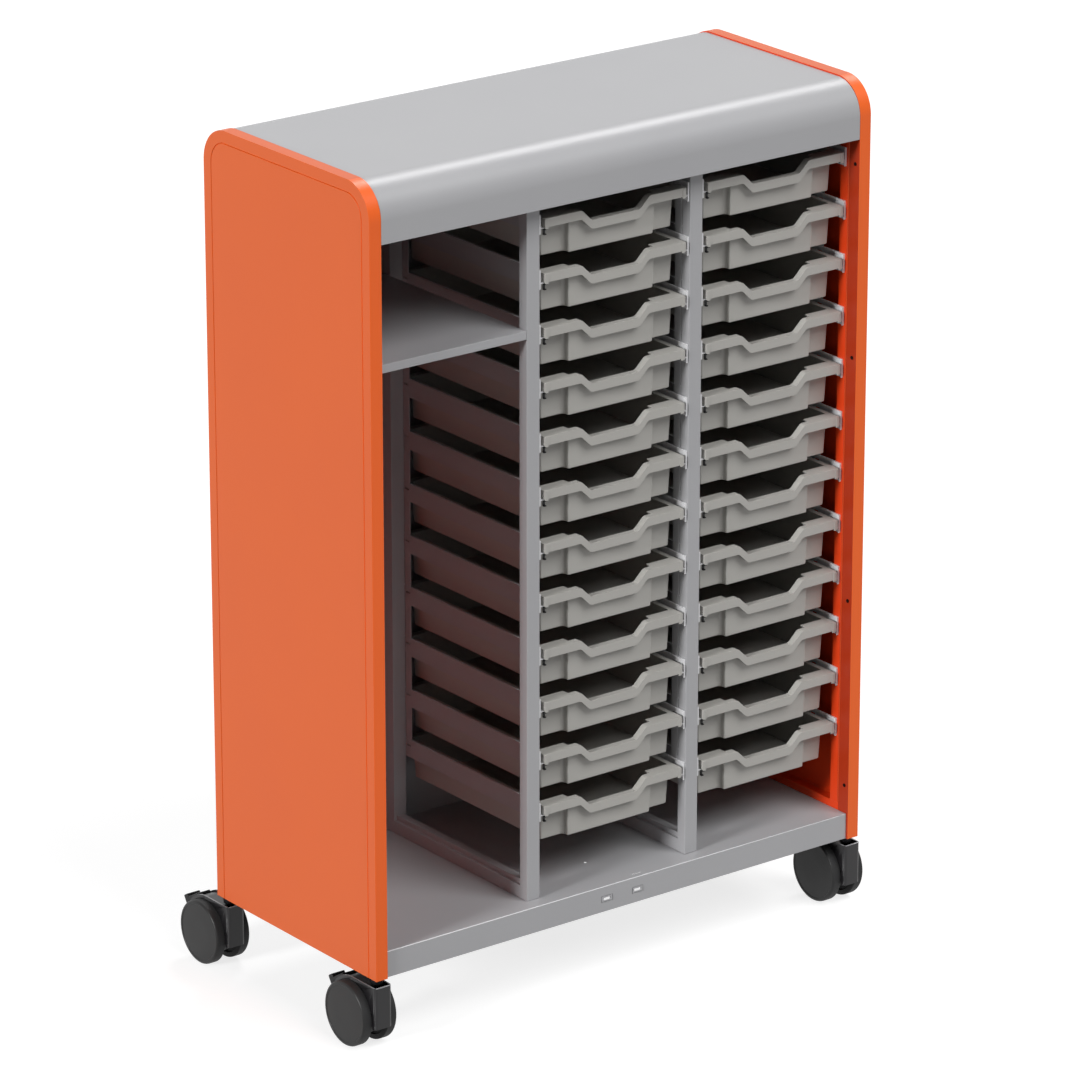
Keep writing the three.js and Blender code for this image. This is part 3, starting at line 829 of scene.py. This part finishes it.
def makeTrayRim():
    t = tray
    w, hole = t["width"] / 2, t["width"] / 2 - t["sideFlange"] - t["wall"]
    inFront = t["frontFlange"] - t["bulgeForward"] + t["wall"]
    behind, rearHole = t["frontFlange"] + t["wall"], t["depth"] - t["rearFlange"] - t["wall"]
    nose = t["bulgeHalf"] - t["wall"]
    bpy.ops.object.select_all(action="DESELECT")
    bpy.ops.mesh.primitive_plane_add(size=1, location=(0, t["depth"] / 2, 0))
    rim = bpy.context.object
    rim.scale = (t["width"], t["depth"], 1)
    bpy.ops.object.transform_apply(location=True, rotation=True, scale=True)
    editing(rim)
    for x in (hole, nose, t["dipMouth"], t["dipFloor"]):
        cutAt((-x, 0, 0), (1, 0, 0))
        cutAt((x, 0, 0), (1, 0, 0))
    for y in (inFront, behind, rearHole):
        cutAt((0, y, 0), (0, 1, 0))

    def isOpen(c):
        return (abs(c.x) < hole and behind < c.y < rearHole) or (abs(c.x) < nose and inFront < c.y < behind)

    pickFaces(rim, lambda c, n: isOpen(c))
    bpy.ops.mesh.delete(type="FACE")
    bpy.ops.mesh.select_mode(type="VERT")
    pickVerts(rim, lambda v: v.y < inFront + near and abs(v.x) < t["dipFloor"] + near)
    bpy.ops.transform.translate(value=(0, 0, -t["dipDepth"]))
    bpy.ops.mesh.select_mode(type="EDGE")

    def onBorder(a, b):
        onSide = abs(a.x - b.x) < near and abs(a.x) > w - near
        atEnd = max(a.y, b.y) < near or min(a.y, b.y) > t["depth"] - near
        return onSide or (abs(a.y - b.y) < near and atEnd)

    pickEdges(rim, onBorder)
    bpy.ops.mesh.extrude_edges_move(TRANSFORM_OT_translate={"value": (0, 0, -t["rimHeight"])})

    def atDip(a, b):
        lengthwise = abs(a.x - b.x) < near / 10 and max(a.y, b.y) < inFront + near
        return lengthwise and min(abs(abs(a.x) - t["dipFloor"]), abs(abs(a.x) - t["dipMouth"])) < near

    pickEdges(rim, atDip)
    roundPicked(t["dipRound"], steps["bend"])
    for y, radius in ((0, t["rimFrontCorner"]), (t["depth"], t["rimRearCorner"])):
        def atCorner(a, b):
            return abs(a.z - b.z) > t["rimHeight"] / 2 and abs(a.x) > w - near and abs(a.y - y) < near

        pickEdges(rim, atCorner)
        roundPicked(radius, steps["corner"])
    bpy.ops.mesh.select_all(action="SELECT")
    bpy.ops.mesh.normals_make_consistent(inside=False)
    finishEditing()
    finishWith(rim, "SOLIDIFY", thickness=t["rimWall"], offset=-1, use_even_offset=True)
    softenEdges(rim, t["rimEdge"])
    return rim


# A block at each end of the rim's front, rounded at its lower outer corner
trayTab = {"width": 8 * mm, "proud": 0.6 * mm, "drop": 3.2 * mm, "corner": 4 * mm, "edge": 0.5 * mm}


def makeTrayTab(side):
    t, tab = tray, trayTab
    outer = t["width"] / 2
    across = sorted([side * (outer - tab["width"]), side * outer])
    foot = -t["rimHeight"] - tab["drop"]
    piece = block("trayTab", (across[0], -tab["proud"], foot), (across[1], t["rimWall"], -t["rimEdge"]))

    def atCorner(a, b):
        return max(a.z, b.z) < foot + near and min(a.x * side, b.x * side) > outer - near

    editing(piece, "EDGE")
    pickEdges(piece, atCorner)
    roundPicked(tab["corner"], steps["bend"])
    finishEditing()
    softenEdges(piece, tab["edge"], steps["hairline"])
    return piece


# The stops: at the left end a hook that passes down in front of the runner's ledge and back under it,
# and at the right end a lug
trayHook = {
    "inset": 4.5 * mm,
    "width": 5 * mm,
    "front": 0.8 * mm,
    "bar": 2.2 * mm,
    "depth": 10 * mm,
    "underRim": 2.8 * mm,
    "intoRim": 2 * mm,
    "drop": 15 * mm,
    "lug": 3 * mm,
    "toe": 3.6 * mm,
    "edge": 0.7 * mm,
}


def makeTrayHook(side):
    t, h = tray, trayHook
    x = side * (t["width"] / 2 - h["inset"])
    left, right = x - h["width"] / 2, x + h["width"] / 2
    rimFoot = -t["rimHeight"]
    if side > 0:
        low = (left, h["front"], rimFoot - h["lug"])
        piece = block("trayLug", low, (right, h["depth"], rimFoot + h["intoRim"]))
        softenEdges(piece, h["edge"], steps["hairline"])
        paint(piece, clipPlastic)
        return piece
    top, bottom = rimFoot - h["underRim"], rimFoot - h["drop"]
    back = h["depth"] - h["bar"]
    piece = block("trayHook", (left, h["front"], top - h["bar"]), (right, h["depth"], top))
    editing(piece)
    cutAt((0, h["front"] + h["bar"], 0), (0, 1, 0))
    cutAt((0, back, 0), (0, 1, 0))
    pickFaces(piece, lambda c, n: n.z > facing and c.y < h["front"] + h["bar"])
    extrude((0, 0, h["underRim"] + h["intoRim"]))
    pickFaces(piece, lambda c, n: n.z < -facing and c.y > back)
    extrude((0, 0, bottom + 2 * h["bar"] - top))
    extrude((0, 0, -h["bar"]))
    pickFaces(piece, lambda c, n: n.y < -facing and c.z < bottom + h["bar"])
    extrude((0, -h["toe"], 0))
    finishEditing()
    softenEdges(piece, h["edge"], steps["hairline"])
    paint(piece, clipPlastic)
    return piece


def makeTrays():
    moulding = [makeTrayRim(), makeTrayBody(), makeTrayTab(-1), makeTrayTab(1)]
    for obj in moulding:
        paint(obj, trayPlastic)
    master = joinAll(moulding + [makeTrayHook(-1), makeTrayHook(1)])
    smooth(master, trayShading)
    for node in sorted(nodes):
        if node.startswith("tray_"):
            low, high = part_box(node)
            place = Vector(((low[0] + high[0]) / 2, low[1], high[2]))
            name = node + "_moulding"
            standFor(moved(master, name, place), name, node)
    bpy.data.objects.remove(master)


makeTrays()
print("trays made")


# Casters: modelled once about the swivel axis at the height of the panel's underside

caster = {
    "height": 139 * mm,
    "trail": 49.3 * mm,
    "wheelRadius": 60 * mm,
    "wheelWidth": 18.5 * mm,
    "pairWidth": 73 * mm,
}
wheelParts = {
    "shoulder": 4 * mm,
    "faceRing": 2.2 * mm,
    "ringDepth": 0.7 * mm,
    "domeRise": 0.56 * mm,
    "domeCrown": 0.24 * mm,
    "domeStep": 15 * mm,
    "treadFacing": 0.35,
    "innerEdge": 1 * mm,
    "innerRim": 9 * mm,
    "innerDepth": 5 * mm,
}
hoodParts = {
    "width": 37.5 * mm,
    "coreWidth": 34 * mm,
    "front": 20.7 * mm,
    "frontCorner": 7 * mm,
    "clearance": 7 * mm,
    "wheelRoom": 1.2 * mm,
    "skirtBottom": 92 * mm,
    "skirtDepth": 9 * mm,
    "rearAngle": 14,
    "coreRadius": 44 * mm,
    "topRim": 2.6 * mm,
    "topDepth": 3.5 * mm,
    "edge": 0.9 * mm,
}
pedalParts = {
    "width": 29 * mm,
    "barrel": 5 * mm,
    "pivotAngle": 56,
    "sink": 2 * mm,
    "reach": 45 * mm,
    "thickness": 7 * mm,
    "slope": 31,
    "heelLength": 15 * mm,
    "heelHeight": 10 * mm,
    "heelDrop": 6 * mm,
    "travel": 12,
    "room": 0.5 * mm,
    "endCorner": 5 * mm,
    "ribs": 3,
    "ribWidth": 1.6 * mm,
    "ribPitch": 5 * mm,
    "ribHeight": 0.9 * mm,
    "edge": 1.8 * mm,
}
axleDrop = caster["height"] - caster["wheelRadius"]
hoodRadius = caster["wheelRadius"] + hoodParts["clearance"]
hoodTop = hoodRadius - axleDrop


def makeWheel(side):
    c, w = caster, wheelParts
    middle = side * (c["pairWidth"] - c["wheelWidth"]) / 2
    place = (middle, c["trail"], -axleDrop)
    wheel = rod("wheel", "x", c["wheelRadius"], c["wheelWidth"], place, sides["wheel"])
    editing(wheel)
    pickFaces(wheel, lambda f, n: n.x * side > facing)
    bpy.ops.mesh.inset(thickness=w["shoulder"] + w["faceRing"])
    bpy.ops.mesh.inset(thickness=w["ringDepth"], depth=-w["ringDepth"])
    bpy.ops.mesh.inset(thickness=w["domeStep"], depth=w["domeRise"])
    bpy.ops.mesh.inset(thickness=w["domeStep"], depth=w["domeCrown"])
    pickFaces(wheel, lambda f, n: n.x * side < -facing)
    bpy.ops.mesh.inset(thickness=w["innerRim"])
    bpy.ops.mesh.inset(thickness=w["innerEdge"], depth=-w["innerDepth"])
    bpy.ops.mesh.select_mode(type="EDGE")

    def away(v):
        return math.hypot(v.y - c["trail"], v.z + axleDrop)

    def onRim(a, b, outward):
        atRim = min(away(a), away(b)) > c["wheelRadius"] - near / 2
        return atRim and min(a.x * outward, b.x * outward) > middle * outward

    pickEdges(wheel, lambda a, b: onRim(a, b, side))
    roundPicked(w["shoulder"], steps["shoulder"])
    pickEdges(wheel, lambda a, b: onRim(a, b, -side))
    roundPicked(w["innerEdge"], steps["edge"])
    finishEditing()
    paint(wheel, wheelPlastic, rubberAndPaintedShade)
    # the tread is darker, partly painted shade, and the wheel's inner side is painted dark as painted shade
    for face in wheel.data.polygons:
        atRim = away(face.center) > c["wheelRadius"] - w["innerEdge"]
        onTread = atRim and abs(face.normal.x) < w["treadFacing"]
        face.material_index = 1 if onTread or face.normal.x * side < -leaning else 0
    smooth(wheel)
    return wheel


# A block drawn about the pedal's pivot, and the matrix that tips it by the pedal's slope and takes it there
def onPedal(name, low, high):
    p = pedalParts
    piece = block(name, low, high)
    angle = math.radians(p["pivotAngle"])
    pivot = Vector((
        0,
        caster["trail"] + math.cos(angle) * (hoodRadius - p["sink"]),
        math.sin(angle) * (hoodRadius - p["sink"]) - axleDrop,
    ))
    place = Matrix.Translation(pivot) @ Matrix.Rotation(-math.radians(p["slope"]), 4, "X")
    return piece, place


def makeHood():
    c, h, p = caster, hoodParts, pedalParts
    half, trail = h["width"] / 2, c["trail"]
    axle = (0, trail, -axleDrop)
    hood = rod("hood", "x", hoodRadius, h["width"], axle, sides["hood"])
    front = block("hoodFront", (-half, -h["front"], -h["skirtBottom"]), (half, trail, hoodTop))
    editing(front, "EDGE")
    pickEdges(front, lambda a, b: abs(a.z - b.z) > near and max(a.y, b.y) < 0)
    roundPicked(h["frontCorner"], steps["round"])
    pickEdges(front, lambda a, b: min(a.z, b.z) > hoodTop - near and max(a.y, b.y) < near - h["front"])
    roundPicked(h["edge"], steps["edge"])
    finishEditing()
    carve(hood, front, "UNION")
    # behind the skirt, the guard ends above the axle
    guardEnd = math.sin(math.radians(h["rearAngle"])) * hoodRadius - axleDrop
    far = 2 * c["height"]
    behind = h["skirtDepth"] - h["front"]
    carve(hood, block("guardFoot", (-h["width"], behind, -far), (h["width"], far, guardEnd)))
    skirtEnd = (h["width"], trail, -h["skirtBottom"])
    carve(hood, block("skirtFoot", (-h["width"], -2 * h["front"], -far), skirtEnd))
    wellWidth = 2 * c["wheelWidth"]
    for side in (-1, 1):
        place = (side * (h["coreWidth"] + wellWidth) / 2, trail, -axleDrop)
        wellRadius = c["wheelRadius"] + h["wheelRoom"]
        carve(hood, rod("wheelWell", "x", wellRadius, wellWidth, place, sides["wheel"]))
    carve(hood, rod("hoodCore", "x", h["coreRadius"], h["coreWidth"], axle), "UNION")
    # the top lies a little below a rim along its sides and front
    inside = half - h["topRim"]
    low = (-inside, h["topRim"] - h["front"], hoodTop - h["topDepth"])
    carve(hood, block("flatRecess", low, (inside, trail, hoodTop + over)))
    curved = rod("curvedRecess", "x", hoodRadius + over, 2 * inside, axle, sides["hood"])
    carve(curved, rod("recessFloor", "x", hoodRadius - h["topDepth"], h["width"], axle, sides["hood"]))
    carve(curved, block("recessFront", (-half, -c["height"], -far), (half, trail, far)))
    carve(hood, curved)
    # room for the pedal and its heel, all the way down
    wide = p["width"] / 2 + p["room"]
    swing = p["reach"] * math.sin(math.radians(p["travel"]))
    floor = p["barrel"] - p["thickness"] - p["room"] - swing
    heelStart = p["reach"] - p["heelLength"] - p["heelDrop"]
    for start, bottom in ((-p["barrel"] - p["room"], floor), (heelStart, floor - p["heelDrop"])):
        notch, place = onPedal("pedalNotch", (-wide, start, bottom), (wide, 2 * p["reach"], p["reach"]))
        notch.data.transform(place)
        carve(hood, notch)
    softenEdges(hood, h["edge"])
    smooth(hood)
    paint(hood, hoodPlastic, pedalBlackAndCoreShade, rimHighlightPlastic)
    # the top rim is painted light grey as a painted highlight
    for face in hood.data.polygons:
        fromAxle = math.hypot(face.center.y - trail, face.center.z + axleDrop)
        onTop = face.center.z > hoodTop - near or (face.center.y > trail and fromAxle > hoodRadius - near)
        # the core seen in the opening under the skirt is painted near-black: painted shade
        face.material_index = 2 if onTop else 1 if fromAxle < h["coreRadius"] + near / 2 else 0
    return hood


def makePedal():
    p = pedalParts
    half, top = p["width"] / 2, p["barrel"]
    heelTop = top + p["heelHeight"] - p["thickness"] / 2
    pedal, place = onPedal("pedal", (-half, -p["barrel"], top - p["thickness"]), (half, p["reach"], top))
    heelStart = p["reach"] - p["heelLength"]
    editing(pedal)
    cutAt((0, heelStart, 0), (0, 1, 0))
    pickFaces(pedal, lambda f, n: n.z > facing and f.y > heelStart)
    extrude((0, 0, heelTop - top))
    pickFaces(pedal, lambda f, n: n.z < -facing and f.y > heelStart)
    extrude((0, 0, -p["heelDrop"]))
    bpy.ops.mesh.select_mode(type="EDGE")
    pickEdges(pedal, lambda a, b: abs(a.z - b.z) > near and min(a.y, b.y) > p["reach"] - near)
    roundPicked(p["endCorner"], steps["bend"])
    finishEditing()
    softenEdges(pedal, p["edge"])
    pieces = [pedal]
    for index in range(p["ribs"]):
        y = heelStart - (index + 1) * p["ribPitch"]
        across = half - p["endCorner"]
        low, high = (-across, y, top - p["ribHeight"]), (across, y + p["ribWidth"], top + p["ribHeight"])
        rib = block("rib", low, high)
        softenEdges(rib, p["ribHeight"] / 2, steps["hairline"])
        pieces.append(rib)
    pedal = joinAll(pieces)
    pedal.data.transform(place)
    smooth(pedal)
    paint(pedal, pedalBlackAndCoreShade)
    return pedal


stemParts = {
    "collarRadius": 11 * mm,
    "radius": 6 * mm,
    "up": 26 * mm,
    "down": 34 * mm,
    "seat": 0.3 * mm,
    "edge": 0.6 * mm,
}


def makeStem():
    s = stemParts
    length = -hoodTop - 2 * s["seat"]
    stem = rod("stem", "z", s["collarRadius"], length, (0, 0, hoodTop / 2), sides["stem"])
    editing(stem)
    for sign, reach in ((1, s["up"]), (-1, s["down"])):
        pickFaces(stem, lambda f, n: n.z * sign > facing)
        bpy.ops.mesh.inset(thickness=s["collarRadius"] - s["radius"])
        extrude((0, 0, sign * reach))
    finishEditing()
    softenEdges(stem, s["edge"], steps["hairline"])
    smooth(stem)
    paint(stem, blackZinc)
    return stem


def placeCasters():
    masters = {
        "hood": (makeHood(), "caster_plastic"),
        "stem": (makeStem(), "zinc_plated_steel"),
        "wheel_left": (makeWheel(-1), "wheel_plastic"),
        "wheel_right": (makeWheel(1), "wheel_plastic"),
        "brake_pedal": (makePedal(), "caster_plastic"),
    }
    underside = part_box("side_panel_left")[0][2]
    for end in ("front", "rear"):
        for side in ("left", "right"):
            name = f"caster_{end}_{side}"
            low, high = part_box(name + "_stem")
            place = Vector(((low[0] + high[0]) / 2, (low[1] + high[1]) / 2, underside))
            for part, (master, slotName) in masters.items():
                node = f"{name}_{part}"
                piece = node + "_moulded"
                standFor(moved(master, piece, place), piece, node)
            paint(nodes[name + "_axle"], zinc)
    for master, _ in masters.values():
        bpy.data.objects.remove(master)


placeCasters()
print("casters made")


# Camera, floor and light

photoView = {
    "yaw": 37.3139,
    "pitch": 19.8535,
    "distance": 11.2243,
    "aimAboveFoot": 738 * mm,
    "aimPixel": (541.20, 486.11),
    "focalPixels": 6246.4,
    "imageSize": 1080,
    "sensor": 36.0,
}


def placeCamera():
    v = photoView
    low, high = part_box("side_panel_left")
    aim = Vector((0, (low[1] + high[1]) / 2, low[2] + v["aimAboveFoot"]))
    yaw, pitch = math.radians(v["yaw"]), math.radians(v["pitch"])
    level = math.cos(pitch)
    forward = Vector((math.sin(yaw) * level, math.cos(yaw) * level, -math.sin(pitch)))
    right = Vector((math.cos(yaw), -math.sin(yaw), 0))
    down = forward.cross(right)
    across = (v["aimPixel"][0] - v["imageSize"] / 2) / v["focalPixels"]
    below = (v["aimPixel"][1] - v["imageSize"] / 2) / v["focalPixels"]
    data = bpy.data.cameras.new("photoCamera")
    data.sensor_width = v["sensor"]
    data.lens = v["focalPixels"] / v["imageSize"] * v["sensor"]
    camera = bpy.data.objects.new("photoCamera", data)
    bpy.context.scene.collection.objects.link(camera)
    turn = Matrix((right, -down, -forward)).transposed().to_4x4()
    place = aim - (right * across + down * below + forward) * v["distance"]
    camera.matrix_world = Matrix.Translation(place) @ turn
    bpy.context.scene.camera = camera


studio = {
    "floorSize": 60.0,
    "floorColour": "#9F9F9F",
    "floorGlow": 0.78,
    "floorRoughness": 0.9,
    "lampDistance": 5,
    "worldStrength": 0.08,
    # name, degrees round from the front towards the right, degrees up, strength, angle of softness
    "suns": [
        ("leftSun", -82, 20, 2.45, 12),
        ("frontSun", 18, 50, 1.98, 36),
        ("rearSun", 122, 48, 0.95, 20),
    ],
}


def maths(tree, operation, first, second):
    return addNode(tree, "ShaderNodeMath", {"operation": operation}, {0: first, 1: second}).outputs[0]


# 1 where the camera, a reflection or a clear material sees the studio, and 0 for the light on the object
def seenDirectly(tree):
    path = addNode(tree, "ShaderNodeLightPath").outputs
    inMirror = maths(tree, "MAXIMUM", path["Is Glossy Ray"], path["Is Transmission Ray"])
    return maths(tree, "MAXIMUM", path["Is Camera Ray"], inMirror)


def makeFloor():
    s = studio
    bpy.ops.object.select_all(action="DESELECT")
    bpy.ops.mesh.primitive_plane_add(size=s["floorSize"], location=(0, 0, 0))
    floor = bpy.context.object
    floor.name = "floor"
    material, tree, shader = newMaterial("studioFloor")
    shader.inputs["Base Color"].default_value = toLinear(s["floorColour"])
    shader.inputs["Roughness"].default_value = s["floorRoughness"]
    shader.inputs["Specular IOR Level"].default_value = 0.0
    glow = maths(tree, "MULTIPLY", seenDirectly(tree), s["floorGlow"])
    light = addNode(tree, "ShaderNodeEmission", None, {"Strength": glow})
    both = addNode(tree, "ShaderNodeAddShader", None, {0: shader.outputs[0], 1: light.outputs[0]})
    tree.links.new(both.outputs[0], tree.nodes["Material Output"].inputs["Surface"])
    paint(floor, material)


def makeSuns():
    for name, around, up, strength, softness in studio["suns"]:
        data = bpy.data.lights.new(name, "SUN")
        data.energy = strength
        data.angle = math.radians(softness)
        lamp = bpy.data.objects.new(name, data)
        bpy.context.scene.collection.objects.link(lamp)
        turn, rise = math.radians(around), math.radians(up)
        level = math.cos(rise)
        toLamp = Vector((math.sin(turn) * level, -math.cos(turn) * level, math.sin(rise)))
        lamp.location = toLamp * studio["lampDistance"]
        lamp.rotation_euler = toLamp.to_track_quat("Z", "Y").to_euler()


# White to look at, and a weaker fill for the light on the object
def makeWorld():
    world = bpy.data.worlds.new("studioWorld")
    world.use_nodes = True
    bpy.context.scene.world = world
    tree = world.node_tree
    shown = addNode(tree, "ShaderNodeBackground", None, {"Color": (1, 1, 1, 1), "Strength": 1.0})
    fill = {"Color": (1, 1, 1, 1), "Strength": studio["worldStrength"]}
    lit = addNode(tree, "ShaderNodeBackground", None, fill)
    mixed = addNode(
        tree, "ShaderNodeMixShader", None, {0: seenDirectly(tree), 1: lit.outputs[0], 2: shown.outputs[0]}
    )
    tree.links.new(mixed.outputs[0], tree.nodes["World Output"].inputs["Surface"])


bpy.context.scene.view_settings.view_transform = "Standard"
placeCamera()
makeFloor()
makeSuns()
makeWorld()
print("studio set")
